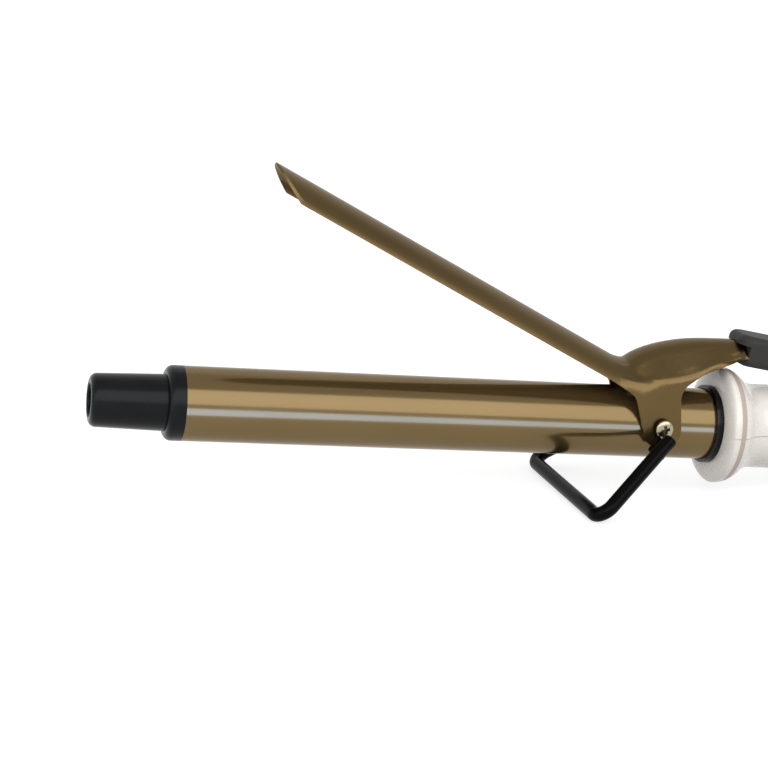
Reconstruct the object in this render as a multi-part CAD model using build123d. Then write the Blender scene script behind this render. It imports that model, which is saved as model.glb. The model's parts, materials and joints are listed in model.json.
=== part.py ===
from build123d import *
import os
from math import asin, atan2, cos, degrees, hypot, radians, sin, sqrt

# A curling iron with a spring clamp and a wire stand, in millimetres.
# It is drawn on the barrel: X runs along the barrel's axis from the tip end of the tube towards the
# handle, Z is up on the clamp's side, and Y is along the clamp's pivot. At the end the whole iron is
# tilted as it lies on a table, on the stand's foot and the end of the handle.

# Barrel tube
barrel_d = 25.0
barrel_wall = 1.0
barrel_visible = 186.1
barrel_insert = 24.0
fit = 0.1

# Cool tip: a shoulder that closes the tube and a tapered nose with a screw recess
shoulder_length = 5.7
shoulder_round = 2.6
nose_length = 24.6
nose_base_d = 18.9
nose_front_d = 17.6
nose_round = 2.4
recess_d = 10.9
recess_depth = 14.0
recess_edge = 0.8
cap_spigot = 9.0
cap_wall = 1.6
cap_floor = 2.4
tip_screw_d = 3.0
tip_screw_head_d = 5.6
tip_screw_head_h = 2.4
nut_plate_thickness = 1.5
nut_plate_gap = 3.0

# Heater inside the tube: a ceramic plate between two hollow half-round spreaders
heater_setback = 95.5
heater_length = 80.0
heater_plate_length = 66.0
heater_plate_width = 14.0
heater_plate_thickness = 2.6
spreader_wall = 1.5
fuse_d = 4.0
fuse_length = 11.0
plug_thickness = 5.0
plug_setback = 4.0
lead_d = 1.8
lead_spacing = 9.0

# Clamp pivot and clamp sheet
pivot_setback = 20.6
pivot_z = 1.35
sheet = 0.8
hair_gap = 1.1
blade_reach = 161.6
blade_half_angle = 61.2
blade_tip_length = 18.0
blade_tip_flare = 0.15
blade_end_overlap = 14.0
lever_angle = 24.5
clamp_open = 25.0
ear_gap = 0.3

# Hood of the clamp, with its tongue level. Each station gives the distance behind the pivot, the
# height of the crest, how far the brim is tucked in from the ears, the height of the bend below the
# brim and the slope of the flank.
hood_stations = (
    (-15.0, 18.4, 2.2, 9.5, 55.0),
    (-9.0, 23.2, 0.3, 11.0, 60.0),
    (-3.0, 26.0, 0.0, 14.6, 60.0),
    (4.0, 28.0, 0.0, 16.2, 60.0),
    (12.0, 29.3, 1.2, 18.6, 58.0),
    (21.0, 29.8, 3.2, 21.8, 53.0),
    (30.0, 29.9, 5.5, 24.6, 45.0),
    (40.0, 29.2, 6.6, 24.4, 45.0),
)
bend_radius = 1.5
brim_slope = 15.0
hood_roundness = 0.67

# Ears of the clamp and the lip of its tongue, seen from the side with the tongue level
ear_start = -15.2
ear_foot = 7.0
ear_foot_front = -5.0
ear_foot_rear = 8.2
ear_foot_round = 5.8
ear_throat_x = 4.8
ear_throat_z = 13.6
lip_front_x = 12.5
lip_front_z = 19.0
lip_rear_x = 30.0
lip_rear_z = 25.0
tongue_end_x = 45.0
tongue_end_z = 25.2
blade_corner_round = 3.0
throat_round = 6.0
lip_round = 20.0

# Pivot hardware, the same on both sides
bush_flange_d = 9.0
bush_flange = 0.35
bush_body_d = 6.0
bush_length = 5.0
journal_d = 3.6
running_gap = 0.15
thread_d = 2.8
pivot_head_d = 6.4
pivot_head_h = 1.4

# Lever grip, moulded over the end of the clamp's tongue
grip_front = 28.7
grip_length = 38.5
grip_height = 10.8
grip_top = 33.0
grip_width = 17.4
grip_slope = 7.0
grip_round = 2.4
grip_corner_round = 5.6
grip_roof = 3.6
grip_mouth = 3.2

# Leaf spring between the hood and the barrel
spring_width = 5.0
spring_thickness = 0.5
spring_pad = 5.0
spring_curl = 2.4
spring_gap = 0.25

# Wire stand: a thick bent wire with a flattened lug at each end, held under the pivot screws
wire_d = 5.0
stand_reach_x = 27.6
stand_drop = 26.5
stand_half_width = 36.0
stand_bend = 4.2
leg_start = 1.4
leg_offset = 2.45
lug_thickness = 1.2
lug_d = 5.8
lug_length = 7.4
lug_aside = 3.6
lug_neck = 2.4
lug_neck_aside = 2.9
lug_neck_d = 3.0
stand_clear = 0.25

# Collar between barrel and handle
collar_width = 2.65
collar_rise = 1.3
collar_round = 0.5
collar_spigot = 6.0
collar_spigot_wall = 0.85

# Handle: a flange with a flush trim ring, a neck and a gently swelling grip in two half shells
flange_d = 41.4
flange_bulge = 2.3
neck_d = 29.8
neck_distance = 16.2
flange_crest_share = 0.48
swell_d = 33.6
swell_distance = 92.0
handle_length = 138.0
handle_end_d = 31.2
handle_end_round = 5.0
shell_wall = 2.4
end_wall = 4.0
trim_offset = 1.3
trim_width = 2.1
trim_depth = 1.6
seam_width = 0.4
seam_depth = 0.5

# Handle screws and the boss that takes each of them
screw_stations = (38.0, 105.0)
boss_d = 7.0
handle_screw_d = 2.6
handle_screw_head_d = 5.0
handle_screw_head_h = 1.8
screw_recess_d = 5.6
boss_split = 0.2

# Electronics in the handle
board_start = 46.0
board_length = 52.0
board_width = 20.0
board_thickness = 1.6
post_d = 4.0
post_inset = 8.0
switch_length = 15.0
switch_width = 7.0
switch_height = 6.0
switch_distance = 72.0
lamp_distance = 92.0
lens_d = 3.4
lens_proud = 0.4
led_d = 3.0

# Power slider on top of the handle
slider_travel = 5.0
knob_length = 9.0
knob_width = 5.4
knob_proud = 1.6
knob_round = 0.8
stem_length = 5.0
stem_width = 3.0
slider_gap = 0.2
tongue_thickness = 1.0
tongue_width = 5.6
slot_depth = 1.2

# Cord swivel at the end of the handle, with its slip rings
swivel_neck_d = 11.0
swivel_flange_d = 16.0
swivel_flange = 3.0
swivel_proud = 17.0
swivel_d = 15.0
swivel_end_d = 11.5
swivel_groove = 1.2
swivel_grooves = 3
cord_hole_d = 7.0
swivel_tail = 14.0
ring_d = 13.0
ring_width = 3.2
ring_pitch = 6.0
brush_thickness = 0.8
brush_width = 2.4

# Sizes that follow from those above
barrel_r = barrel_d / 2
pivot_x = barrel_visible - pivot_setback
heater_start = pivot_x - heater_setback
board_height = lead_d / 2
bore_r = barrel_r - barrel_wall
collar_front = barrel_visible
handle_front = collar_front + collar_width
barrel_end = handle_front + barrel_insert
handle_end = handle_front + handle_length
neck_x = handle_front + neck_distance
swell_x = handle_front + swell_distance
blade_r_in = barrel_r + hair_gap
blade_r = blade_r_in + sheet
blade_edge = blade_r * cos(radians(blade_half_angle)) - pivot_z
ear_in = barrel_r + bush_flange + ear_gap
ear_out = ear_in + sheet
lug_y = ear_out + stand_clear
head_y = lug_y + lug_thickness + running_gap
wire_r = wire_d / 2
leg_y = head_y + pivot_head_h + stand_clear + wire_r

far = 3 * barrel_visible


def along_x(x):
    """A plane square to the barrel's axis, with Y to its right and Z up."""
    return Plane(origin=(x, 0, 0), x_dir=(0, 1, 0), z_dir=(1, 0, 0))


def rod(x0, x1, r, y=0.0, z=0.0):
    """A round bar along X."""
    return extrude(along_x(x0) * Pos(y, z) * Circle(r), x1 - x0)


def pin(x, z, y0, y1, r):
    """A round bar along Y, from y0 to y1."""
    return extrude(Plane(origin=(x, y0, z), x_dir=(1, 0, 0), z_dir=(0, 1, 0)) * Circle(r), y1 - y0)


def post(x, y, z0, z1, r):
    """A round bar along Z."""
    return extrude(Plane.XY.offset(z0) * Pos(x, y) * Circle(r), z1 - z0)


def block(x0, x1, y0, y1, z0, z1):
    """A box between two corners."""
    return Pos((x0 + x1) / 2, (y0 + y1) / 2, (z0 + z1) / 2) * Box(x1 - x0, y1 - y0, z1 - z0)


def turned(outline):
    """A solid of revolution about the barrel's axis from a closed outline of X and radius."""
    return revolve(Plane.XZ * make_face(outline), Axis.X)


def together(shapes):
    """Several separate solids as one shape."""
    return Part() + shapes


def mirrored(shape):
    """A shape together with its mirror image on the other side of the barrel."""
    return shape + mirror(shape, Plane.XZ)


# Barrel and tip

def make_barrel():
    """The tube, with a round hole on each side for the pivot bushes."""
    tube = rod(0, barrel_end, barrel_r) - rod(0, barrel_end, bore_r)
    holes = pin(pivot_x, pivot_z, -barrel_d, barrel_d, bush_body_d / 2)
    return tube - holes


def make_tip_cap():
    """Shoulder, nose and spigot in one hollow moulding, with the recess for the screw."""
    nose_x = -shoulder_length - nose_length
    spigot_r = bore_r - fit
    outline = Polyline(
        (nose_x, 0),
        (nose_x, nose_front_d / 2),
        (-shoulder_length, nose_base_d / 2),
        (-shoulder_length, barrel_r),
        (0, barrel_r),
        (0, spigot_r),
        (cap_spigot, spigot_r),
        (cap_spigot, 0),
        close=True,
    )
    body = turned(outline)
    front = body.edges().filter_by(GeomType.CIRCLE).sort_by(Axis.X)
    body = fillet(front[0], nose_round)
    shoulder = [
        edge
        for edge in body.edges().filter_by(GeomType.CIRCLE)
        if abs(edge.center().X + shoulder_length) < fit and edge.radius > nose_base_d / 2 + fit
    ]
    body = fillet(shoulder, shoulder_round)
    body -= rod(nose_x, nose_x + recess_depth, recess_d / 2)
    mouth = [
        edge
        for edge in body.edges().filter_by(GeomType.CIRCLE)
        if abs(edge.center().X - nose_x) < fit and edge.radius < recess_d / 2 + fit
    ]
    body = fillet(mouth, recess_edge)
    body -= rod(nose_x + recess_depth + cap_floor, cap_spigot, nose_base_d / 2 - cap_wall)
    return body - rod(nose_x, cap_spigot, tip_screw_d / 2 + fit)


def make_tip_screw():
    """A pan-head screw from the bottom of the recess into the nut plate."""
    seat = recess_depth - shoulder_length - nose_length
    head = rod(seat - tip_screw_head_h, seat, tip_screw_head_d / 2)
    head = fillet(head.edges().sort_by(Axis.X)[0], tip_screw_head_h / 3)
    return head + rod(seat, cap_spigot + nut_plate_gap + nut_plate_thickness, tip_screw_d / 2)


def make_nut_plate():
    """A disc pressed into the tube, which the tip screw pulls the cap against."""
    start = cap_spigot + nut_plate_gap
    disc = rod(start, start + nut_plate_thickness, bore_r)
    return disc - rod(start, start + nut_plate_thickness, tip_screw_d / 2)


# Heater

def make_spreader(side):
    """A hollow half-round bar that carries the heater plate's heat to the tube."""
    gap = heater_plate_thickness / 2
    outer = rod(heater_start, heater_start + heater_length, bore_r - fit)
    inner = rod(heater_start, heater_start + heater_length, bore_r - fit - spreader_wall)
    keep = block(heater_start, heater_start + heater_length, -barrel_d, barrel_d, gap, barrel_d)
    hollow = Pos(0, 0, spreader_wall) * keep
    half = (outer & keep) - (inner & hollow)
    return half if side > 0 else Rot(X=180) * half


def make_heater_plate():
    """The flat ceramic heater between the spreaders."""
    start = heater_start + (heater_length - heater_plate_length) / 2
    half = heater_plate_width / 2
    thick = heater_plate_thickness / 2
    return block(start, start + heater_plate_length, -half, half, -thick, thick)


def make_fuse():
    """The thermal fuse, lying on the floor of the upper spreader's hollow."""
    start = heater_start + (heater_length - fuse_length) / 2
    height = heater_plate_thickness / 2 + spreader_wall + fuse_d / 2
    return rod(start, start + fuse_length, fuse_d / 2, 0, height)


def make_plug():
    """The insulating plug in the rear end of the tube, with holes for the leads."""
    start = barrel_end - plug_setback - plug_thickness
    disc = rod(start, start + plug_thickness, bore_r - fit)
    for side in (-1, 1):
        disc -= rod(start, start + plug_thickness, lead_d / 2 + fit, side * lead_spacing / 2)
    return disc


def make_leads():
    """The two leads from the heater plate to the circuit board."""
    start = heater_start + (heater_length + heater_plate_length) / 2
    end = handle_front + board_start + post_inset
    return mirrored(rod(start, end, lead_d / 2, -lead_spacing / 2))


# Pivot hardware

def make_bushes():
    """Threaded bushes in the tube's wall, each with a flange that spaces the clamp's ear."""
    face = -barrel_r - bush_flange
    flange = pin(pivot_x, pivot_z, face, -bore_r, bush_flange_d / 2) - rod(0, barrel_end, barrel_r)
    body = pin(pivot_x, pivot_z, face, face + bush_length, bush_body_d / 2)
    bore = pin(pivot_x, pivot_z, face, face + bush_length, thread_d / 2)
    return mirrored(flange + body - bore)


def make_pivot_screws():
    """Shoulder screws: the clamp's ears and the stand's eyes turn on them."""
    face = -barrel_r - bush_flange
    head = pin(pivot_x, pivot_z, -head_y - pivot_head_h, -head_y, pivot_head_d / 2)
    head = fillet(head.edges().sort_by(Axis.Y)[0], pivot_head_h / 2)
    shoulder = pin(pivot_x, pivot_z, -head_y, face, journal_d / 2)
    thread = pin(pivot_x, pivot_z, face, face + bush_length, thread_d / 2)
    return mirrored(head + shoulder + thread)


# Clamp, drawn about its pivot. The hood is drawn with the lever's tongue level.

def hood_section(x, crest, half_width, bend, flank, inset):
    """One section of the hood: round top, straight flank, flared brim and a bend down to the ear."""
    top_r = hood_roundness * half_width
    steep = radians(flank)
    flat = radians(brim_slope)
    across = half_width - bend_radius - top_r * sin(steep) + bend_radius * sin(flat)
    down = crest - bend - top_r * (1 - cos(steep)) - bend_radius * cos(flat)
    flare_y = sin(steep) - sin(flat)
    flare_z = cos(flat) - cos(steep)
    span = cos(steep) * flare_z - sin(steep) * flare_y
    run = (across * flare_z - down * flare_y) / span
    flare_r = (down * cos(steep) - across * sin(steep)) / span
    flare_c = (
        (top_r + flare_r) * sin(steep) + run * cos(steep),
        crest - top_r + (top_r + flare_r) * cos(steep) - run * sin(steep),
    )
    bend_c = (half_width - bend_radius, bend)

    def on_top(angle):
        return (top_r - inset) * sin(angle), crest - top_r + (top_r - inset) * cos(angle)

    def on_flare(angle):
        r = flare_r + inset
        return flare_c[0] - r * sin(angle), flare_c[1] - r * cos(angle)

    def on_bend(angle):
        r = bend_radius - inset
        return bend_c[0] + r * sin(angle), bend_c[1] + r * cos(angle)

    square = radians(90)
    floor = (half_width - inset, -ear_foot - sheet)
    right = [
        Line(on_top(steep), on_flare(steep)),
        ThreePointArc(on_flare(steep), on_flare((steep + flat) / 2), on_flare(flat)),
        ThreePointArc(on_bend(flat), on_bend((flat + square) / 2), on_bend(square)),
        Line(on_bend(square), floor),
    ]
    left = [mirror(edge, Plane.YZ) for edge in right]
    top = ThreePointArc((-on_top(steep)[0], on_top(steep)[1]), on_top(0), on_top(steep))
    base = Line((-floor[0], floor[1]), floor)
    return along_x(x) * make_face([top, base] + right + left)


def make_hood(inset):
    """The filled hood, or its inner space when inset is the sheet's thickness."""
    widest = ear_out
    sections = [
        hood_section(x, crest, widest - tuck, bend, flank, inset)
        for x, crest, tuck, bend, flank in hood_stations
    ]
    tongue = loft(sections[-2:], ruled=True)
    return Rot(Y=-lever_angle) * (loft(sections[:-1]) + tongue)


def edge_point(x):
    """A point of the blade's lower edge, turned to where the tongue is level."""
    turn = radians(lever_angle)
    return x * cos(turn) + blade_edge * sin(turn), blade_edge * cos(turn) - x * sin(turn)


def make_side_outline():
    """The clamp seen from the side: what lies under the blade's edge, ears and lip is trimmed away."""
    start = edge_point(-blade_reach - blade_tip_length)
    end = (tongue_end_x, tongue_end_z)
    lower = FilletPolyline(
        start,
        edge_point(ear_start),
        (ear_foot_front, -ear_foot),
        (ear_foot_rear, -ear_foot),
        (ear_throat_x, ear_throat_z),
        (lip_front_x, lip_front_z),
        (lip_rear_x, lip_rear_z),
        end,
        radius=[blade_corner_round, ear_foot_round, ear_foot_round, throat_round, lip_round, lip_round],
    )
    upper = Polyline(end, (tongue_end_x, far), (start[0], far), start)
    side = extrude(Plane.XZ * make_face([lower, upper]), 2 * barrel_d, both=True)
    return Rot(Y=-lever_angle) * side


def make_blade_plan():
    """The blade seen from above: straight sides and a rounded end."""
    centre = -blade_reach + blade_tip_length
    half_width = blade_r * sin(radians(blade_half_angle))
    tip = Pos(centre, 0) * Ellipse(blade_tip_length, half_width + blade_tip_flare)
    rest = Pos(centre + far / 2, 0) * Rectangle(far, 4 * barrel_d)
    return extrude(Plane.XY.offset(-barrel_d) * (tip + rest), 4 * barrel_d)


def make_clamp_stamping():
    """Blade, hood, ears and tongue in one piece of sheet, closed on the barrel."""
    front = -blade_reach - blade_tip_length
    blade = rod(front, -blade_end_overlap, blade_r, 0, -pivot_z)
    inside = rod(front, -blade_end_overlap, blade_r_in, 0, -pivot_z)
    body = (blade + make_hood(0)) - inside - make_hood(sheet)
    body = body & make_side_outline()
    body = body & make_blade_plan()
    return body - pin(0, 0, -barrel_d, barrel_d, journal_d / 2 + running_gap)


def make_grip(stamping):
    """The plastic lever grip, moulded over the end of the tongue, with a roof over its mouth."""
    rear = grip_front + grip_length
    base = grip_top - grip_height
    middle = (grip_front + rear) / 2
    plan = Pos(middle, 0) * RectangleRounded(grip_length, grip_width, grip_corner_round)
    body = extrude(Plane.XY.offset(base) * plan, grip_height)
    ends = body.faces().filter_by(Plane.XY)
    body = fillet(ends.edges(), grip_round)
    body -= block(0, grip_front + grip_mouth, -grip_width, grip_width, 0, grip_top - grip_roof)
    hinge = Pos(grip_front, 0, grip_top) * Rot(Y=grip_slope) * Pos(-grip_front, 0, -grip_top)
    return Rot(Y=-lever_angle) * (hinge * body) - stamping


def make_spring():
    """The leaf spring: a pad fitted under the hood and a leaf that bears on the barrel."""
    space = Rot(Y=lever_angle) * make_hood(sheet)
    half = spring_width / 2
    pad_box = block(-spring_pad, spring_pad, -half, half, 0, 2 * barrel_d)
    pad = (space - Pos(0, 0, -spring_thickness) * space) & pad_box
    toe = barrel_r - pivot_z + spring_gap + spring_thickness / 2
    path = FilletPolyline(
        (spring_pad - spring_thickness, 2 * barrel_d),
        (spring_pad - spring_thickness, toe + spring_curl),
        (spring_pad + spring_curl, toe),
        (spring_pad + 2 * spring_curl, toe + spring_curl / 2),
        radius=[2 * spring_curl, spring_curl / 2],
    )
    leaf = extrude(Plane.XZ * trace(path, spring_thickness), half, both=True) & space
    return Rot(Y=-lever_angle) * (pad + leaf)


# Stand

def stand_corner():
    """The near corner of the stand's foot."""
    return Vector(pivot_x - stand_reach_x, -stand_half_width, pivot_z - stand_drop)


def leg_point(along, aside, y):
    """A point beside the near leg, measured from the pivot towards the corner and aside from it."""
    reach = hypot(stand_reach_x, stand_drop)
    back = stand_reach_x / reach
    down = stand_drop / reach
    return Vector(pivot_x - along * back + aside * down, -y, pivot_z - along * down - aside * back)


def make_stand_wire():
    """The bent wire, with a lug behind each leg's end that turns on the pivot screw."""
    begin = leg_point(leg_start, leg_offset, leg_y)
    corner = stand_corner()
    points = [begin, corner, Vector(corner.X, -corner.Y, corner.Z), Vector(begin.X, -begin.Y, begin.Z)]
    path = FilletPolyline(*points, radius=stand_bend)
    wire = sweep(Plane(origin=path @ 0, z_dir=path % 0) * Circle(wire_r), path)
    return wire + mirrored(make_lug())


def make_lug():
    """The flattened end: an eye under the screw's head, and a foot behind the leg that rises to it."""
    neck = leg_point(lug_neck, lug_neck_aside, lug_y)
    foot = leg_point(lug_length, lug_aside, lug_y)
    side = Plane(origin=(0, -lug_y, 0), x_dir=(1, 0, 0), z_dir=(0, -1, 0))
    eye = Pos(pivot_x, pivot_z) * Circle(lug_d / 2)
    heel = Pos(foot.X, foot.Z) * Circle(lug_neck_d / 2)
    strip = make_hull((Pos(neck.X, neck.Z) * Circle(lug_neck_d / 2) + heel).edges())
    plate = extrude(side * (eye + strip), lug_thickness)
    rise = extrude(side * heel, leg_y - lug_y + wire_r)
    return plate + rise - pin(pivot_x, pivot_z, -far, far, journal_d / 2 + running_gap)


# Collar and handle

def make_collar():
    """The black ring at the barrel's root, with a spigot held in the handle's mouth."""
    r_in = barrel_r + fit
    ring = rod(collar_front, handle_front, barrel_r + collar_rise)
    ring = fillet(ring.edges().sort_by(Axis.X)[0], collar_round)
    spigot = rod(handle_front, handle_front + collar_spigot, r_in + collar_spigot_wall)
    return ring + spigot - rod(collar_front, handle_front + collar_spigot, r_in)


def flange_crest():
    """The widest point of the flange."""
    return handle_front + flange_bulge, flange_d / 2


def make_handle_outside(inset=0.0):
    """The filled outer form of the handle, or a slimmer one by some inset."""
    crest_x, crest_r = flange_crest()
    crest_r -= inset
    neck_r = neck_d / 2 - inset
    swell_r = swell_d / 2 - inset
    drop = crest_r - neck_r
    length = neck_x - crest_x
    turn = 2 * atan2(drop, length)
    both = length / sin(turn)
    crown_r = flange_crest_share * both
    hollow_r = both - crown_r

    def on_crown(angle):
        return crest_x + crown_r * sin(angle), crest_r - crown_r * (1 - cos(angle))

    def on_hollow(angle):
        return neck_x - hollow_r * sin(angle), neck_r + hollow_r * (1 - cos(angle))

    mouth_r = barrel_r + collar_rise - inset
    end_r = handle_end_d / 2 - inset
    front = EllipticalCenterArc((crest_x, mouth_r), flange_bulge, crest_r - mouth_r, 90, arc_size=90)
    crown = ThreePointArc(on_crown(0), on_crown(turn / 2), on_crown(turn))
    hollow = ThreePointArc(on_hollow(turn), on_hollow(turn / 2), on_hollow(0))
    waist = Spline((neck_x, neck_r), (swell_x, swell_r), tangents=((1, 0), (1, 0)))
    tail_end = (handle_end - handle_end_round, end_r)
    tail = Spline((swell_x, swell_r), tail_end, tangents=((1, 0), (1, 0)))
    corner = ThreePointArc(
        tail_end,
        (handle_end - handle_end_round * (1 - sqrt(0.5)), end_r - handle_end_round * (1 - sqrt(0.5))),
        (handle_end, end_r - handle_end_round),
    )
    close = Polyline(
        (handle_end, end_r - handle_end_round), (handle_end, 0), (handle_front, 0), (handle_front, mouth_r)
    )
    return turned([front, crown, hollow, waist, tail, corner, close])


def make_cavity(wall):
    """The long space in the handle, inside a wall of some thickness."""
    front = barrel_end + fit
    back = handle_end - end_wall
    neck_r = neck_d / 2 - wall
    swell_r = swell_d / 2 - wall
    end_r = handle_end_d / 2 - wall
    return turned(
        [
            Polyline((back, end_r), (back, 0), (front, 0), (front, neck_r)),
            Spline((front, neck_r), (swell_x, swell_r), tangents=((1, 0), (1, 0))),
            Spline((swell_x, swell_r), (back, end_r), tangents=((1, 0), (1, 0))),
        ]
    )


def make_handle_inside():
    """The space inside the handle: collar seat, barrel socket, cavity and the swivel's outlet."""
    seat = rod(handle_front, handle_front + collar_spigot + fit, barrel_r + collar_spigot_wall + 2 * fit)
    socket = rod(handle_front, barrel_end + fit, barrel_r + fit)
    outlet = rod(handle_end - end_wall, handle_end, swivel_neck_d / 2 + running_gap)
    return make_cavity(shell_wall) + seat + socket + outlet


def trim_band(depth):
    """The ring-shaped space of the trim ring, down to a depth below the crest."""
    start = handle_front + flange_bulge + trim_offset
    r = flange_d / 2
    return rod(start, start + trim_width, r + 1) - rod(start, start + trim_width, r - depth)


def handle_top(x):
    """The height of the handle's outside at a place along it."""
    part = (x - neck_x) / (swell_x - neck_x)
    ease = part * part * (3 - 2 * part)
    return neck_d / 2 + (swell_d - neck_d) / 2 * min(ease, 1.0)


def slider_level():
    """The flat floor of the recess that the power slider moves in."""
    return handle_top(handle_front + switch_distance) - slot_depth


def screw_seat():
    """The height of the seat under the handle screws' heads."""
    return -neck_d / 2 + shell_wall + handle_screw_head_h


def make_seam():
    """The fine groove along each side where the shells meet."""
    return block(0, far, -far, far, -seam_width / 2, seam_width / 2) - make_handle_outside(seam_depth)


def make_handle_shells():
    """The upper and lower half of the handle, with bosses, posts and openings."""
    body = make_handle_outside() - make_handle_inside() - trim_band(trim_depth) - make_seam()
    room = make_cavity(shell_wall / 2)
    upper = body & block(0, far, -far, far, 0, far)
    lower = body & block(0, far, -far, far, -far, 0)
    for station in screw_stations:
        x = handle_front + station
        upper += post(x, 0, boss_split, barrel_d, boss_d / 2) & room
        upper -= post(x, 0, 0, handle_screw_reach(), handle_screw_d / 2)
        lower += post(x, 0, -barrel_d, 0, boss_d / 2) & room
        lower -= post(x, 0, -barrel_d, 0, handle_screw_d / 2 + fit)
        lower -= post(x, 0, -barrel_d, screw_seat(), screw_recess_d / 2)
    for x, y in board_posts():
        lower += post(x, y, -barrel_d, board_height, post_d / 2) & room
    middle = handle_front + switch_distance
    half = (knob_length + slider_travel) / 2 + slider_gap
    width = knob_width / 2 + slider_gap
    upper -= block(middle - half, middle + half, -width, width, slider_level(), far)
    slot = (stem_length + slider_travel) / 2 + slider_gap
    width = stem_width / 2 + slider_gap
    upper -= block(middle - slot, middle + slot, -width, width, 0, far)
    upper -= post(handle_front + lamp_distance, 0, 0, far, lens_d / 2 + fit)
    return upper, lower


def make_trim_ring():
    """The beige ring set flush into the flange behind its crest."""
    return make_handle_outside() & trim_band(trim_depth)


def handle_screw_reach():
    """How far the handle screws reach into the upper bosses."""
    return neck_d / 4


def make_handle_screws():
    """The screws that hold the two shells together."""
    screws = []
    for station in screw_stations:
        x = handle_front + station
        head = post(x, 0, screw_seat() - handle_screw_head_h, screw_seat(), handle_screw_head_d / 2)
        screws.append(head + post(x, 0, screw_seat(), handle_screw_reach(), handle_screw_d / 2))
    return together(screws)


def board_posts():
    """The places of the four posts under the circuit board."""
    x0 = handle_front + board_start + post_inset
    x1 = handle_front + board_start + board_length - post_inset
    y = board_width / 2 - post_d / 2 - fit
    return [(x, side * y) for x in (x0, x1) for side in (-1, 1)]


def make_board():
    """The circuit board on its posts."""
    start = handle_front + board_start
    half = board_width / 2
    return block(start, start + board_length, -half, half, board_height, board_height + board_thickness)


def make_switch():
    """The slide switch on the board, under the slider's stem."""
    middle = handle_front + switch_distance
    floor = board_height + board_thickness
    half = switch_length / 2
    side = switch_width / 2
    return block(middle - half, middle + half, -side, side, floor, floor + switch_height)


def make_slider():
    """The power slider: knob, stem through the slot and a tongue under the shell."""
    middle = handle_front + switch_distance - slider_travel / 2
    front = middle - knob_length / 2
    back = middle + knob_length / 2
    level = slider_level() + slider_gap
    top = handle_top(handle_front + switch_distance) + knob_proud
    knob = block(front, back, -knob_width / 2, knob_width / 2, level, top)
    knob = fillet(knob.faces().sort_by(Axis.Z)[-1].edges(), knob_round)
    roof = tongue_roof()
    tail = board_height + board_thickness + switch_height + slider_gap
    half = stem_length / 2
    stem = block(middle - half, middle + half, -stem_width / 2, stem_width / 2, tail, level + slider_gap)
    tongue = block(front, back, -tongue_width / 2, tongue_width / 2, roof - tongue_thickness, roof)
    return knob + stem + tongue


def tongue_roof():
    """The top of the slider's tongue, under the curved inside of the shell."""
    inner = handle_top(handle_front + switch_distance - knob_length) - shell_wall
    return sqrt(inner ** 2 - (tongue_width / 2) ** 2) - slider_gap


def make_lens():
    """The clear lens of the indicator lamp in the upper shell."""
    x = handle_front + lamp_distance
    top = handle_top(x) + lens_proud
    bar = post(x, 0, handle_top(x) - 2 * shell_wall, top, lens_d / 2)
    return fillet(bar.edges().sort_by(Axis.Z)[-1], lens_proud)


def make_led():
    """The indicator lamp on the board, under its lens."""
    x = handle_front + lamp_distance
    return post(x, 0, board_height + board_thickness, handle_top(x) - 2 * shell_wall, led_d / 2)


# Cord swivel

def make_swivel():
    """The turning cord outlet: flange inside the end wall, neck through it and a grooved sleeve."""
    inner = handle_end - end_wall - running_gap
    flange = rod(inner - swivel_flange, inner, swivel_flange_d / 2)
    neck = rod(inner, handle_end + running_gap, swivel_neck_d / 2)
    start = handle_end + running_gap
    end = handle_end + swivel_proud
    sleeve = turned(
        Polyline((start, 0), (start, swivel_d / 2), (end, swivel_end_d / 2), (end, 0), close=True)
    )
    sleeve = fillet(sleeve.edges().filter_by(GeomType.CIRCLE), swivel_groove / 2)
    pitch = swivel_proud / (swivel_grooves + 2)
    for number in range(swivel_grooves):
        x = start + pitch * (number + 1.5)
        r = swivel_d / 2 + (swivel_end_d - swivel_d) / 2 * (x - start) / (end - start)
        sleeve -= rod(x, x + swivel_groove, barrel_r) - rod(x, x + swivel_groove, r - swivel_groove / 2)
    tail = rod(inner - swivel_flange - swivel_tail, inner - swivel_flange, swivel_neck_d / 2)
    whole = flange + neck + sleeve + tail
    return whole - rod(inner - swivel_flange - swivel_tail, end, cord_hole_d / 2)


def ring_places():
    """Where the two slip rings start along the swivel's tail."""
    first = handle_end - end_wall - running_gap - swivel_flange - swivel_tail + ring_width / 2
    return [first, first + ring_pitch]


def make_slip_rings():
    """The brass slip rings on the swivel's tail."""
    rings = [
        rod(x, x + ring_width, ring_d / 2) - rod(x, x + ring_width, swivel_neck_d / 2) for x in ring_places()
    ]
    return together(rings)


def make_brushes():
    """The spring brushes from the board's end to the slip rings."""
    start = handle_front + board_start + board_length - post_d
    brushes = []
    for x, side in zip(ring_places(), (-1, 1)):
        inner = side * (ring_d / 2 + running_gap)
        outer = inner + side * brush_thickness
        end = x + (ring_width + brush_width) / 2
        low = board_height - brush_width
        brushes.append(block(start, end, min(inner, outer), max(inner, outer), low, board_height))
    return together(brushes)


# The whole iron

def place_clamp(shape):
    """Moves a piece of the clamp from its pivot to the iron and opens it."""
    return Pos(pivot_x, 0, pivot_z) * Rot(Y=clamp_open) * shape


def table_tilt():
    """The angle by which the handle sinks when the iron lies on its foot and the handle's end."""
    corner = stand_corner()
    end_x = handle_end - handle_end_round
    end_z = handle_end_round - handle_end_d / 2
    run = end_x - corner.X
    rise = end_z - corner.Z
    return degrees(atan2(rise, run) + asin((wire_r - handle_end_round) / hypot(run, rise)))


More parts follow.
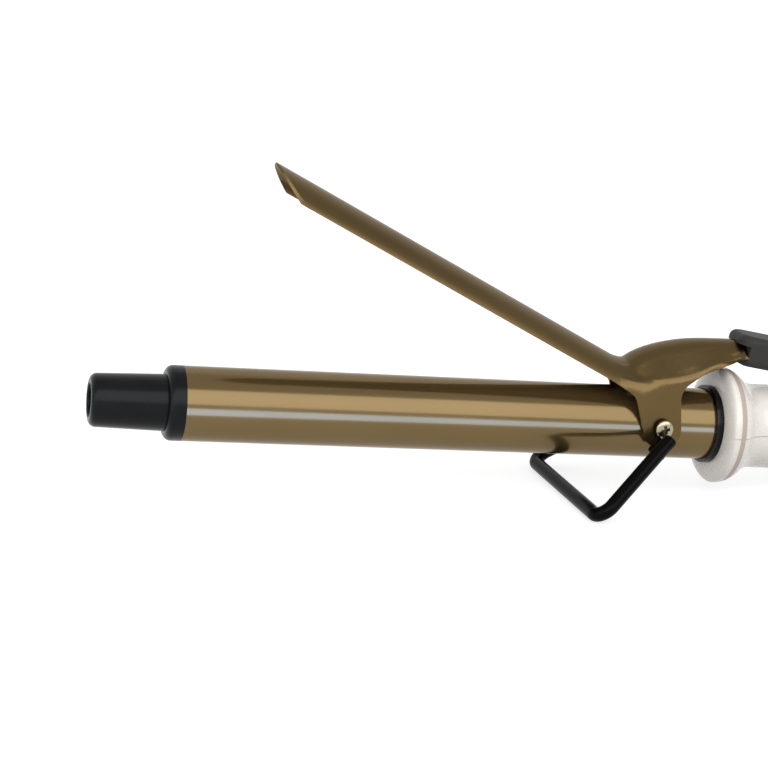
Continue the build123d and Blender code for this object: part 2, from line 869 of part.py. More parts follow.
def make_iron():
    """Every piece by name, still on the barrel's axis."""
    stamping = make_clamp_stamping()
    upper, lower = make_handle_shells()
    return {
        "barrel_tube": make_barrel(),
        "tip_cap": make_tip_cap(),
        "tip_screw": make_tip_screw(),
        "tip_nut_plate": make_nut_plate(),
        "heat_spreader_upper": make_spreader(1),
        "heat_spreader_lower": make_spreader(-1),
        "heater_plate": make_heater_plate(),
        "thermal_fuse": make_fuse(),
        "insulating_plug": make_plug(),
        "heater_leads": make_leads(),
        "pivot_bushes": make_bushes(),
        "pivot_screws": make_pivot_screws(),
        "barrel_collar": make_collar(),
        "handle_upper_shell": upper,
        "handle_lower_shell": lower,
        "trim_ring": make_trim_ring(),
        "handle_screws": make_handle_screws(),
        "circuit_board": make_board(),
        "slide_switch": make_switch(),
        "indicator_lens": make_lens(),
        "indicator_lamp": make_led(),
        "contact_brushes": make_brushes(),
        "clamp_stamping": place_clamp(stamping),
        "lever_grip": place_clamp(make_grip(stamping)),
        "clamp_spring": place_clamp(make_spring()),
        "stand_wire": make_stand_wire(),
        "power_slider": make_slider(),
        "cord_swivel": make_swivel(),
        "slip_rings": make_slip_rings(),
    }


def main():
    iron = make_iron()
    tilt = Rot(Y=table_tilt())
    tilted = {name: tilt * shape for name, shape in iron.items()}
    boxes = [shape.bounding_box() for shape in tilted.values()]
    front = min(box.min.X for box in boxes)
    back = max(box.max.X for box in boxes)
    floor = min(box.min.Z for box in boxes)
    stand = Pos(-(front + back) / 2, 0, -floor)
    os.makedirs("parts", exist_ok=True)
    for name, shape in tilted.items():
        export_step(stand * shape, f"parts/{name}.step")
    place = stand * tilt
    print("tilt", round(table_tilt(), 4), "shift", [round(v, 4) for v in stand.position])
    for name, point in (
        ("pivot", (pivot_x, 0, pivot_z)),
        ("swivel", (handle_end, 0, 0)),
        ("swivel_mouth", (handle_end + swivel_proud, 0, 0)),
        ("slider", (handle_front + switch_distance, 0, slider_level())),
    ):
        print(name, [round(v, 4) for v in (place * Pos(*point)).position])


main()
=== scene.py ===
import json
import math

import bmesh
import bpy
import numpy as np
from mathutils import Matrix, Vector
from mathutils.kdtree import KDTree


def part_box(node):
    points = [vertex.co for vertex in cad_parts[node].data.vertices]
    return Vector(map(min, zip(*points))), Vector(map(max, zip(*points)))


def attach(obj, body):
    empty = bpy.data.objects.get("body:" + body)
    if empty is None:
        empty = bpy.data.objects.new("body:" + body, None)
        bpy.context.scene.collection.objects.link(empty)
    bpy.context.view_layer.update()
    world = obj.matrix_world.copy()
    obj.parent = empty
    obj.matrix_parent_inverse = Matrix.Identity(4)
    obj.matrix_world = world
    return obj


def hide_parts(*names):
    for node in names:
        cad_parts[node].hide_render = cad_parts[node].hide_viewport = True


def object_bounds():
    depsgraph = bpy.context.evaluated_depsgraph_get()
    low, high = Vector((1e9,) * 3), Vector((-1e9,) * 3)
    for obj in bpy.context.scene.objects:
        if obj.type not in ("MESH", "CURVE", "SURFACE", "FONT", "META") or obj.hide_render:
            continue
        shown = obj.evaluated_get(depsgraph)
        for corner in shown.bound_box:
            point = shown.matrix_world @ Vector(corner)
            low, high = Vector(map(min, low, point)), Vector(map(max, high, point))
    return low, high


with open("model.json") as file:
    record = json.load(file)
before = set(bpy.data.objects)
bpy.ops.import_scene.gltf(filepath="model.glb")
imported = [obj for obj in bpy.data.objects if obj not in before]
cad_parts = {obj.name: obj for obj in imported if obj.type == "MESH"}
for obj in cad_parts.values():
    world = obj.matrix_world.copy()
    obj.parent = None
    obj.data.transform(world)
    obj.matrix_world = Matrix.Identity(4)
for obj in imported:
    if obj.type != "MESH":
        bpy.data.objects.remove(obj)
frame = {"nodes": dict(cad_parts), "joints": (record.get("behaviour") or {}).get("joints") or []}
cad_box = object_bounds()
nodes = frame["nodes"]
joints = {joint["name"]: joint for joint in frame["joints"]}

# The barrel's own frame: its origin is the tube's tip end, X runs towards the handle, Y is the pivot's.
HANDLE_END = 0.32675
barrel_axis = Vector(joints["swivel_turn"]["axis"]).normalized()
barrel_origin = Vector(joints["swivel_turn"]["pos_m"]) - barrel_axis * HANDLE_END
barrel_tilt = math.atan2(-barrel_axis.z, barrel_axis.x)
barrel_frame = Matrix.Translation(barrel_origin) @ Matrix.Rotation(barrel_tilt, 4, "Y")
pivot = Vector(joints["clamp_hinge"]["pos_m"])

# Camera, in the barrel's frame. The focal length is for the 768 pixel wide square picture.
CAMERA_PLACE = Vector((-0.1080, -0.6134, 0.1577))
CAMERA_YAW = math.radians(16.04)
CAMERA_PITCH = math.radians(-13.08)
CAMERA_ROLL = math.radians(6.18)
FOCAL_PIXELS = 1942.8
PICTURE_PIXELS = 768
SENSOR_MM = 36.0
CAMERA_NEAR = 0.01

# Pivot screws: a pan head with a cross recess on a plain shoulder
HEAD_HEIGHT = 0.0014
HEAD_RIM = 0.0005
SHOULDER_RADIUS = 0.0018
SHOULDER_END = 0.0129
CROSS_LENGTH = 0.0041
CROSS_WIDTH = 0.0012
CROSS_DEPTH = 0.0012
CROSS_TAPER = (0.55, 0.8)
CROSS_TURNS = (35.0, 12.0)
RECESS_MARGIN = 0.00006
SCREW_STEPS = 64
SCREW_WELD = 0.000002
SCREW_SHARP = math.radians(35)
ON_AXIS = 1e-7
DOME_STEPS = 8

# Clamp hood, in millimetres about the pivot with the tongue level. Each section of the solid gives the
# place along the tongue, the crest's height, what is added to half the width, the bend's height and the
# flank's slope in degrees.
MILLIMETRE = 0.001
HOOD_SECTIONS = (
    (-15.0, 18.4, -2.2, 9.5, 55.0),
    (-9.0, 23.2, -0.3, 11.0, 60.0),
    (-3.0, 26.0, 0.0, 14.6, 60.0),
    (4.0, 28.0, 0.0, 16.2, 60.0),
    (12.0, 29.3, -1.2, 18.6, 58.0),
    (21.0, 29.8, -3.2, 21.8, 53.0),
    (30.0, 29.9, -5.5, 24.6, 45.0),
    (40.0, 29.2, -6.6, 24.4, 45.0),
)
HOOD_HALF_WIDTH = 13.95
HOOD_TURN = math.radians(0.5)
HOOD_ROUNDNESS = 0.67
HOOD_BEND = 1.5
HOOD_BRIM = math.radians(15.0)
# The fuller flank: its shoulder, where it fades in and out along the tongue, and how far from the skin
HOOD_SHOULDER = 0.38
HOOD_EDGE_ANGLE = math.radians(76.0)
HOOD_FRONT = (-14.0, -8.0)
HOOD_REAR = (33.0, 36.0)
HOOD_FLOOR = 6.0
HOOD_REACH = (1.0, 2.0)
# The mesh: points along an outline, rounds of cutting edges that are longer than an edge, and welding
HOOD_STEPS = 160
HOOD_ROUNDS = 5
HOOD_EDGE = 0.7
HOOD_SHARP = math.radians(12.0)
WELD = 0.002
# The valley between blade and hood: where it lies, the least angles of a crease and of a rim, and how far
# the smoothing reaches. Each stage gives its rounds and the height that it stays below.
CREASE_ZONE = (-18.0, -4.0)
CREASE_ANGLES = (math.radians(20.0), math.radians(60.0))
CREASE_REACH = 4.0
CREASE_STAGES = ((18, 40.0), (40, 16.5))
# A small step at the valley's foot, where the blade's end stands out of the hood, is no rim
STEP_ALONG = (-10.4, -8.8)
STEP_HEIGHT = (11.8, 13.6)

# Lamps and cards, in metres from the pivot
WORLD_FILL = 0.78
WINDOW_SIZE = (3.2, 1.30)
WINDOW_PLACE = Vector((0.0, -1.3, 0.88))
WINDOW_POWER = 26.0
WINDOW_COLOUR = (0.98, 0.99, 1.03)
SIDE_SIZE = (1.0, 1.0)
SIDE_PLACE = Vector((-1.3, -0.55, 0.30))
SIDE_POWER = 4.0
PANEL_NEAR = 0.10
PANEL_FAR = 1.9
PANEL_WIDTH = 2.6
PANEL_LIFT = 0.001
PANEL_RADIANCE = 7.0
PANEL_COLOUR = (0.24, 0.43, 1.0)
CARD_HEIGHT = 0.8
CARD_FRONT = -0.50
CARD_BACK = 0.42
CARD_WIDTH = 3.0
CARD_GLOW = 0.7
FLOOR_SIZE = 8.0
FLOOR_ALBEDO = 0.42
FLOOR_GLOW = 0.72

# The part of a noise's range that a colour or a roughness runs over
NOISE_RANGE = (0.3, 0.7)


# Materials

def new_material(name, colour, metallic, roughness, **sockets):
    """A plain surface; the other keywords name sockets of the shader, with _ for a space."""
    material = bpy.data.materials.new(name)
    material.use_nodes = True
    shader = material.node_tree.nodes["Principled BSDF"]
    shader.inputs["Base Color"].default_value = (*colour, 1.0)
    shader.inputs["Metallic"].default_value = metallic
    shader.inputs["Roughness"].default_value = roughness
    for socket, value in sockets.items():
        shader.inputs[socket.replace("_", " ")].default_value = value
    return material


def add_noise(material, scale, detail, stretch=(1.0, 1.0, 1.0)):
    """Noise in metres along the barrel's axes, as a factor from 0 to 1."""
    tree = material.node_tree
    place = tree.nodes.new("ShaderNodeTexCoord")
    turn = tree.nodes.new("ShaderNodeMapping")
    turn.inputs["Rotation"].default_value = (0.0, -barrel_tilt, 0.0)
    stretching = tree.nodes.new("ShaderNodeMapping")
    stretching.inputs["Scale"].default_value = stretch
    noise = tree.nodes.new("ShaderNodeTexNoise")
    noise.inputs["Scale"].default_value = scale
    noise.inputs["Detail"].default_value = detail
    tree.links.new(place.outputs["Object"], turn.inputs["Vector"])
    tree.links.new(turn.outputs["Vector"], stretching.inputs["Vector"])
    tree.links.new(stretching.outputs["Vector"], noise.inputs["Vector"])
    return noise.outputs["Fac"]


def vary_colour(material, factor, dark, light):
    """The base colour runs from dark to light with the factor."""
    tree = material.node_tree
    ramp = tree.nodes.new("ShaderNodeValToRGB")
    for stop, place, colour in zip(ramp.color_ramp.elements, NOISE_RANGE, (dark, light)):
        stop.position = place
        stop.color = (*colour, 1.0)
    tree.links.new(factor, ramp.inputs["Fac"])
    tree.links.new(ramp.outputs["Color"], tree.nodes["Principled BSDF"].inputs["Base Color"])


def vary_roughness(material, factor, smooth, rough):
    """The roughness runs from smooth to rough with the factor."""
    tree = material.node_tree
    spread = tree.nodes.new("ShaderNodeMapRange")
    spread.inputs["From Min"].default_value = NOISE_RANGE[0]
    spread.inputs["From Max"].default_value = NOISE_RANGE[1]
    spread.inputs["To Min"].default_value = smooth
    spread.inputs["To Max"].default_value = rough
    tree.links.new(factor, spread.inputs["Value"])
    tree.links.new(spread.outputs["Result"], tree.nodes["Principled BSDF"].inputs["Roughness"])


def add_bump(material, factor, depth, strength):
    """A fine relief of some depth in metres."""
    tree = material.node_tree
    bump = tree.nodes.new("ShaderNodeBump")
    bump.inputs["Strength"].default_value = strength
    bump.inputs["Distance"].default_value = depth
    tree.links.new(factor, bump.inputs["Height"])
    tree.links.new(bump.outputs["Normal"], tree.nodes["Principled BSDF"].inputs["Normal"])


def polished_bronze():
    """The barrel's mirror-like coating, with faint lengthways polishing marks and smears."""
    material = new_material(
        "polished_bronze", (0.142, 0.094, 0.036), 0.82, 0.17,
        Coat_Weight=0.22, Coat_Roughness=0.05, Specular_Tint=(0.76, 0.72, 0.66, 1.0)
    )
    marks = add_noise(material, 420.0, 4.0, (0.05, 1.0, 1.0))
    smears = add_noise(material, 38.0, 3.0, (0.4, 1.0, 1.0))
    vary_colour(material, smears, (0.134, 0.088, 0.032), (0.150, 0.100, 0.040))
    vary_roughness(material, marks, 0.14, 0.21)
    return material


def satin_bronze():
    """The clamp's coating: the barrel's hue, blasted to a satin finish."""
    material = new_material(
        "satin_bronze", (0.118, 0.078, 0.030), 1.0, 0.30,
        Coat_Weight=0.13, Coat_Roughness=0.25, Specular_Tint=(0.82, 0.79, 0.74, 1.0)
    )
    grain = add_noise(material, 5200.0, 2.0)
    clouds = add_noise(material, 60.0, 4.0, (0.5, 1.0, 1.0))
    vary_colour(material, clouds, (0.111, 0.073, 0.027), (0.125, 0.083, 0.033))
    vary_roughness(material, grain, 0.26, 0.34)
    add_bump(material, grain, 0.00001, 0.35)
    return material


def charcoal_tip():
    """Satin heat-proof plastic with a spark-eroded grain."""
    material = new_material("charcoal_tip", (0.004, 0.005, 0.006), 0.0, 0.26, Specular_IOR_Level=0.13)
    grain = add_noise(material, 3400.0, 3.0)
    clouds = add_noise(material, 140.0, 3.0)
    vary_colour(material, clouds, (0.003, 0.004, 0.005), (0.005, 0.006, 0.007))
    vary_roughness(material, grain, 0.20, 0.28)
    add_bump(material, grain, 0.00002, 0.4)
    return material


def gloss_black(name, roughness, ripple, shine=0.22):
    """Glossy black plastic or paint, with a little orange peel."""
    material = new_material(name, (0.0015, 0.0015, 0.0015), 0.0, roughness, Specular_IOR_Level=shine)
    peel = add_noise(material, 900.0, 2.0)
    vary_colour(material, peel, (0.001, 0.001, 0.001), (0.002, 0.002, 0.002))
    vary_roughness(material, peel, roughness * 0.8, roughness * 1.3)
    add_bump(material, peel, ripple, 0.4)
    return material


def soft_charcoal():
    """The lever grip's soft-touch plastic."""
    material = new_material("soft_charcoal", (0.021, 0.020, 0.018), 0.0, 0.45, Specular_IOR_Level=0.25)
    grain = add_noise(material, 2600.0, 4.0)
    vary_colour(material, grain, (0.018, 0.017, 0.015), (0.024, 0.023, 0.021))
    vary_roughness(material, grain, 0.48, 0.64)
    add_bump(material, grain, 0.00004, 0.6)
    return material


def pearl_white():
    """The handle's pearl white plastic under a clear gloss."""
    material = new_material(
        "pearl_white", (0.69, 0.653, 0.592), 0.0, 0.26, Coat_Weight=0.4, Coat_Roughness=0.08
    )
    clouds = add_noise(material, 90.0, 4.0)
    peel = add_noise(material, 1100.0, 2.0)
    vary_colour(material, clouds, (0.677, 0.641, 0.580), (0.703, 0.665, 0.604))
    vary_roughness(material, peel, 0.22, 0.30)
    add_bump(material, peel, 0.0000006, 0.3)
    return material


def satin_beige(name):
    """Beige plastic with a satin finish."""
    material = new_material(name, (0.42, 0.345, 0.285), 0.0, 0.36)
    grain = add_noise(material, 1800.0, 3.0)
    vary_colour(material, grain, (0.405, 0.333, 0.275), (0.435, 0.357, 0.295))
    vary_roughness(material, grain, 0.30, 0.42)
    add_bump(material, grain, 0.00001, 0.4)
    return material


def bright_plate():
    """Bright plated steel, with fine turning marks."""
    material = new_material("bright_plate", (0.37, 0.32, 0.22), 1.0, 0.16)
    marks = add_noise(material, 3000.0, 3.0)
    vary_colour(material, marks, (0.32, 0.28, 0.19), (0.41, 0.36, 0.26))
    vary_roughness(material, marks, 0.12, 0.24)
    return material


def painted_shade_recess():
    """Painted shade inside a screw's cross recess: dark dull metal for the faces below the head's surface.
    """
    material = new_material("painted_shade_recess", (0.10, 0.09, 0.07), 1.0, 0.5)
    marks = add_noise(material, 4000.0, 3.0)
    vary_colour(material, marks, (0.06, 0.055, 0.045), (0.14, 0.125, 0.10))
    return material


def plain_metal(name, colour, roughness, stretch=(1.0, 1.0, 1.0)):
    """A worked metal surface of an inner piece, with drawn or turned marks."""
    material = new_material(name, colour, 1.0, roughness)
    marks = add_noise(material, 1500.0, 4.0, stretch)
    vary_colour(material, marks, tuple(c * 0.9 for c in colour), tuple(min(c * 1.08, 1.0) for c in colour))
    vary_roughness(material, marks, roughness * 0.8, roughness * 1.25)
    add_bump(material, marks, 0.00001, 0.3)
    return material


def fired_ceramic():
    """White heat-proof ceramic with fine specks."""
    material = new_material("fired_ceramic", (0.78, 0.75, 0.69), 0.0, 0.6)
    specks = add_noise(material, 2500.0, 5.0)
    vary_colour(material, specks, (0.70, 0.66, 0.60), (0.80, 0.78, 0.72))
    add_bump(material, specks, 0.00002, 0.4)
    return material


def board_laminate():
    """The circuit board's green laminate."""
    material = new_material("board_laminate", (0.02, 0.16, 0.05), 0.0, 0.35, Coat_Weight=0.3)
    weave = add_noise(material, 900.0, 2.0, (1.0, 3.0, 1.0))
    vary_colour(material, weave, (0.015, 0.13, 0.04), (0.03, 0.19, 0.06))
    vary_roughness(material, weave, 0.3, 0.42)
    return material


def red_lens():
    """The indicator's clear red plastic."""
    material = new_material("red_lens", (0.55, 0.03, 0.02), 0.0, 0.12, Transmission_Weight=0.6, IOR=1.5)
    cloud = add_noise(material, 700.0, 2.0)
    vary_colour(material, cloud, (0.50, 0.025, 0.018), (0.60, 0.04, 0.025))
    return material


def pale_rubber():
    """The cord swivel's pale rubber."""
    material = new_material("pale_rubber", (0.74, 0.71, 0.66), 0.0, 0.5)
    grain = add_noise(material, 1900.0, 3.0)
    vary_colour(material, grain, (0.71, 0.68, 0.63), (0.77, 0.74, 0.69))
    vary_roughness(material, grain, 0.44, 0.58)
    add_bump(material, grain, 0.00002, 0.5)
    return material


def dress(material, *names):
    """Gives CAD nodes their finish."""
    for name in names:
        slots = nodes[name].data.materials
        slots.clear()
        slots.append(material)


def dress_all():
    """A finish for every CAD node that shows, and for the inner ones. The pivot screws get theirs later."""
    dress(polished_bronze(), "barrel_tube")
    dress(satin_bronze(), "clamp_stamping")
    dress(charcoal_tip(), "tip_cap")
    dress(gloss_black("collar_black", 0.14, 0.000004), "barrel_collar")
    dress(gloss_black("stand_black", 0.20, 0.00001, 0.05), "stand_wire")
    dress(soft_charcoal(), "lever_grip")
    dress(pearl_white(), "handle_upper_shell", "handle_lower_shell")
    dress(satin_beige("trim_beige"), "trim_ring")
    dress(satin_beige("slider_beige"), "power_slider")
    steel = plain_metal("plain_steel", (0.55, 0.54, 0.52), 0.3)
    dress(steel, "tip_screw", "tip_nut_plate", "pivot_bushes", "handle_screws", "clamp_spring")
    drawn = plain_metal("drawn_aluminium", (0.70, 0.70, 0.71), 0.34, (0.05, 1.0, 1.0))
    dress(drawn, "heat_spreader_upper", "heat_spreader_lower")
    dress(fired_ceramic(), "heater_plate", "thermal_fuse", "insulating_plug")
    brass = plain_metal("plain_brass", (0.74, 0.55, 0.24), 0.26)
    dress(brass, "heater_leads", "contact_brushes", "slip_rings")
    dress(board_laminate(), "circuit_board")
    dress(gloss_black("switch_black", 0.4, 0.00001), "slide_switch")
    dress(red_lens(), "indicator_lens", "indicator_lamp")
    dress(pale_rubber(), "cord_swivel")


# Pieces

def link(name, mesh):
    """A new object of a mesh, in the scene."""
    piece = bpy.data.objects.new(name, mesh)
    bpy.context.scene.collection.objects.link(piece)
    return piece


def spin_profile(build, profile, steps):
    """Turns a list of (radius, height) about Z, with both ends on the axis."""
    rings = []
    for radius, height in profile:
        if radius < ON_AXIS:
            rings.append([build.verts.new((0.0, 0.0, height))])
            continue
        angles = [2 * math.pi * step / steps for step in range(steps)]
        rings.append([build.verts.new((radius * math.cos(a), radius * math.sin(a), height)) for a in angles])
    for lower, upper in zip(rings, rings[1:]):
        for step in range(steps):
            corners = [lower[step % len(lower)], lower[(step + 1) % len(lower)]]
            corners += [upper[(step + 1) % len(upper)], upper[step % len(upper)]]
            distinct = list(dict.fromkeys(corners))
            build.faces.new(distinct)


def cross_recess():
    """The tapered cross that is cut from a screw's head, pointing down Z."""
    build = bmesh.new()
    for turn in (0.0, math.pi / 2):
        made = bmesh.ops.create_cube(build, size=1.0)["verts"]
        for vert in made:
            taper = CROSS_TAPER if vert.co.z < 0 else (1.0, 1.0)
            vert.co.x *= CROSS_LENGTH * taper[0]
            vert.co.y *= CROSS_WIDTH * taper[1]
            vert.co.z = CROSS_DEPTH if vert.co.z > 0 else -CROSS_DEPTH
        bmesh.ops.rotate(build, verts=made, cent=(0, 0, 0), matrix=Matrix.Rotation(turn, 3, "Z"))
    mesh = bpy.data.meshes.new("cross_recess")
    build.to_mesh(mesh)
    build.free()
    return mesh


def screw_mesh(head_radius, head_face):
    """One pivot screw along +Z, from its shoulder's end to its head's crown, with the recess cut in."""
    seat = head_face - HEAD_HEIGHT

    def dome(angle):
        return head_radius * math.cos(angle), seat + HEAD_RIM + (HEAD_HEIGHT - HEAD_RIM) * math.sin(angle)

    profile = [(0.0, SHOULDER_END), (SHOULDER_RADIUS, SHOULDER_END)]
    profile += [(SHOULDER_RADIUS, seat), (head_radius, seat)]
    profile += [dome(math.pi / 2 * step / DOME_STEPS) for step in range(DOME_STEPS + 1)]
    build = bmesh.new()
    spin_profile(build, profile, SCREW_STEPS)
    bmesh.ops.recalc_face_normals(build, faces=build.faces)
    mesh = bpy.data.meshes.new("screw")
    build.to_mesh(mesh)
    build.free()
    screw = link("screw_blank", mesh)
    cutter = link("screw_cutter", cross_recess())
    cutter.location = (0.0, 0.0, head_face)
    cut = screw.modifiers.new("recess", "BOOLEAN")
    cut.operation = "DIFFERENCE"
    cut.solver = "EXACT"
    cut.use_self = True
    cut.object = cutter
    bpy.context.view_layer.update()
    done = bpy.data.meshes.new_from_object(screw.evaluated_get(bpy.context.evaluated_depsgraph_get()))
    bpy.data.objects.remove(screw)
    bpy.data.objects.remove(cutter)
    # Faces inside the cross recess, below the head's surface, take the second slot, which is painted shade.
    for face in done.polygons:
        reach = math.hypot(face.center.x, face.center.y)
        if reach < CROSS_LENGTH / 2:
            surface = dome(math.acos(reach / head_radius))[1]
            face.material_index = int(seat < face.center.z < surface - RECESS_MARGIN)
    return done


def make_pivot_screws():
    """Both pivot screws as one piece, in place of their plain CAD node."""
    low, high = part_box("pivot_screws")
    head_radius = (high.x - low.x) / 2
    mesh = screw_mesh(head_radius, high.y)
    build = bmesh.new()
    for side, turn in zip((1, -1), CROSS_TURNS):
        first = len(build.verts)
        build.from_mesh(mesh)
        build.verts.ensure_lookup_table()
        place = Matrix.Translation(pivot) @ Matrix.Rotation(-side * math.pi / 2, 4, "X")
        place = place @ Matrix.Rotation(math.radians(turn), 4, "Z")
        bmesh.ops.transform(build, matrix=place, verts=build.verts[first:])
    bmesh.ops.remove_doubles(build, verts=build.verts, dist=SCREW_WELD)
    bmesh.ops.dissolve_degenerate(build, edges=build.edges, dist=SCREW_WELD)
    whole = bpy.data.meshes.new("pivot_screw_pair")
    build.to_mesh(whole)
    build.free()
    whole.materials.append(bright_plate())
    # The second slot is painted shade for the faces inside the cross recesses.
    whole.materials.append(painted_shade_recess())
    whole.shade_smooth()
    whole.set_sharp_from_angle(angle=SCREW_SHARP)
    piece = link("pivot_screw_pair", whole)
    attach(piece, "iron")
    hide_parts("pivot_screws")


def hood_values(along):
    """The section's crest, half width, bend and flank at places along the tongue, smoothly joined."""
    table = np.array(HOOD_SECTIONS)
    places = table[:, 0]
    values = table[:, 1:]
    slopes = np.gradient(values, places, axis=0)
    row = np.clip(np.searchsorted(places, along) - 1, 0, len(places) - 2)
    gap = (places[row + 1] - places[row])[:, None]
    t = np.clip((along - places[row])[:, None] / gap, 0.0, 1.0)
    joined = (2 * t**3 - 3 * t**2 + 1) * values[row] + (t**3 - 2 * t**2 + t) * gap * slopes[row]
    joined += (3 * t**2 - 2 * t**3) * values[row + 1] + (t**3 - t**2) * gap * slopes[row + 1]
    return joined.T


def arc_points(centre, radius, start, turn, lengths):
    """Points at lengths along an arc. Its angle is from upright, and a hollow arc has a radius below 0."""
    angle = start + turn * lengths / np.abs(radius)
    return np.stack((centre[0] + radius * np.sin(angle), centre[1] + radius * np.cos(angle)), axis=-1)


def solid_outline(crest, half, bend, steep):
    """The solid's outline from crest to bend: round top, straight flank, hollow brim and small bend."""
    top = HOOD_ROUNDNESS * half
    across = half - HOOD_BEND - top * np.sin(steep) + HOOD_BEND * np.sin(HOOD_BRIM)
    down = crest - bend - top * (1 - np.cos(steep)) - HOOD_BEND * np.cos(HOOD_BRIM)
    flare_y = np.sin(steep) - np.sin(HOOD_BRIM)
    flare_z = np.cos(HOOD_BRIM) - np.cos(steep)
    span = np.cos(steep) * flare_z - np.sin(steep) * flare_y
    run = (across * flare_z - down * flare_y) / span
    flare = (down * np.cos(steep) - across * np.sin(steep)) / span
    lengths = [top * steep, run, flare * (steep - HOOD_BRIM), HOOD_BEND * (math.pi / 2 - HOOD_BRIM)]
    ends = np.cumsum(np.broadcast_arrays(*lengths), axis=0)
    at = np.linspace(0.0, 1.0, HOOD_STEPS)[None, :] * ends[-1]
    flank = np.stack((top * np.sin(steep) + (at - ends[0]) * np.cos(steep),
                      crest - top + top * np.cos(steep) - (at - ends[0]) * np.sin(steep)), axis=-1)
    hollow = ((top + flare) * np.sin(steep) + run * np.cos(steep),
              crest - top + (top + flare) * np.cos(steep) - run * np.sin(steep))
    pieces = [
        arc_points((0.0, crest - top), top, 0.0, 1.0, at),
        flank,
        arc_points(hollow, -flare, steep, -1.0, at - ends[1]),
        arc_points((half - HOOD_BEND, bend), HOOD_BEND, HOOD_BRIM, 1.0, at - ends[2]),
    ]
    return np.select([(at <= end)[..., None] for end in ends[:-1]], pieces[:-1], pieces[-1])


def full_outline(crest, half, bend):
    """The dressed outline: the same top and foot, joined by a straight flank and a wide shoulder."""
    top = HOOD_ROUNDNESS * half
    shoulder = HOOD_SHOULDER * half
    reach = half - shoulder * math.sin(HOOD_EDGE_ANGLE)
    low = bend - shoulder * math.cos(HOOD_EDGE_ANGLE)
    drop = low - crest + top
    angle = np.arctan2(reach, drop) - np.arccos((top - shoulder) / np.hypot(reach, drop))
    start = np.stack((top * np.sin(angle), crest - top + top * np.cos(angle)), axis=-1)
    end = np.stack((reach + shoulder * np.sin(angle), low + shoulder * np.cos(angle)), axis=-1)
    run = np.hypot(*np.moveaxis(end - start, -1, 0))
    ends = np.cumsum([top * angle, run, shoulder * (HOOD_EDGE_ANGLE - angle)], axis=0)
    at = np.linspace(0.0, 1.0, HOOD_STEPS)[None, :] * ends[-1]
    pieces = [
        arc_points((0.0, crest - top), top, 0.0, 1.0, at),
        start + (end - start) * ((at - ends[0]) / run)[..., None],
        arc_points((reach, low), shoulder, angle, 1.0, at - ends[1]),
    ]
    return np.select([(at <= end)[..., None] for end in ends[:-1]], pieces[:-1], pieces[-1])


def ease(value, low, high):
    """Runs smoothly from 0 at low to 1 at high."""
    t = np.clip((value - low) / (high - low), 0.0, 1.0)
    return t * t * (3 - 2 * t)


def fill_hood(points):
    """Moves points of the hood, in millimetres, from the solid's outline to the dressed one."""
    crest, extra, bend, flank = (value[:, None] for value in hood_values(points[:, 0]))
    half = HOOD_HALF_WIDTH + extra
    solid = solid_outline(crest, half, bend, np.radians(flank))
    shift = full_outline(crest, half, bend) - solid
    place = np.stack((np.abs(points[:, 1]), points[:, 2]), axis=-1)
    near = np.argmin(np.sum((solid - place[:, None, :])**2, axis=-1), axis=1)
    rows = np.arange(len(points))
    before = np.clip(near - 1, 0, HOOD_STEPS - 1)
    after = np.clip(near + 1, 0, HOOD_STEPS - 1)
    along = solid[rows, after] - solid[rows, before]
    offset = np.sum((place - solid[rows, near]) * along, axis=-1)
    offset = offset / np.sum(along**2, axis=-1) * (after - before)
    spot = np.clip(near + offset, 0.0, HOOD_STEPS - 1.0)
    low = np.minimum(spot.astype(int), HOOD_STEPS - 2)
    part = (spot - low)[:, None]
    move = shift[rows, low] * (1 - part) + shift[rows, low + 1] * part
    foot = solid[rows, low] * (1 - part) + solid[rows, low + 1] * part
    weight = 1 - ease(np.hypot(*(place - foot).T), *HOOD_REACH)
    weight *= ease(points[:, 0], *HOOD_FRONT) * (1 - ease(points[:, 0], *HOOD_REAR))
    moved = points.copy()
    moved[:, 1] += np.sign(points[:, 1]) * move[:, 0] * weight
    moved[:, 2] += move[:, 1] * weight
    return moved


def soften_crease(build):
    """Rounds the valley between blade and hood. The sheet's rims are only rounded along themselves."""
    joined = [edge for edge in build.edges if len(edge.link_faces) == 2]

    def middle_of(edge):
        return (edge.verts[0].co + edge.verts[1].co) / 2

    def in_step(place):
        return STEP_ALONG[0] < place.x < STEP_ALONG[1] and STEP_HEIGHT[0] < place.z < STEP_HEIGHT[1]

    sharp = [edge for edge in joined if edge.is_convex and edge.calc_face_angle() > CREASE_ANGLES[1]]
    rims = {edge for edge in sharp if not in_step(middle_of(edge))}
    on_rim = {vert for edge in rims for vert in edge.verts}
    valley = []
    for edge in joined:
        middle = middle_of(edge)
        inside = CREASE_ZONE[0] < middle.x < CREASE_ZONE[1] and middle.z > HOOD_FLOOR
        if inside and edge not in rims and edge.calc_face_angle() > CREASE_ANGLES[0]:
            valley.append(middle)
    tree = KDTree(len(valley))
    for number, middle in enumerate(valley):
        tree.insert(middle, number)
    tree.balance()
    build.verts.index_update()
    pairs = []
    for edge in joined:
        for vert, other in (edge.verts, reversed(edge.verts)):
            if (vert not in on_rim or edge in rims) and tree.find(vert.co)[2] < CREASE_REACH:
                pairs.append((vert.index, other.index))
    target, source = np.array(pairs).T
    places = np.array([vert.co for vert in build.verts])
    for rounds, top in CREASE_STAGES:
        below = places[target, 2] < top
        target, source = target[below], source[below]
        count = np.bincount(target, minlength=len(places))
        free = count > 0
        for _ in range(rounds):
            total = np.zeros_like(places)
            np.add.at(total, target, places[source])
            places[free] = (places[free] + total[free] / count[free, None]) / 2
    for vert in build.verts:
        vert.co = places[vert.index]


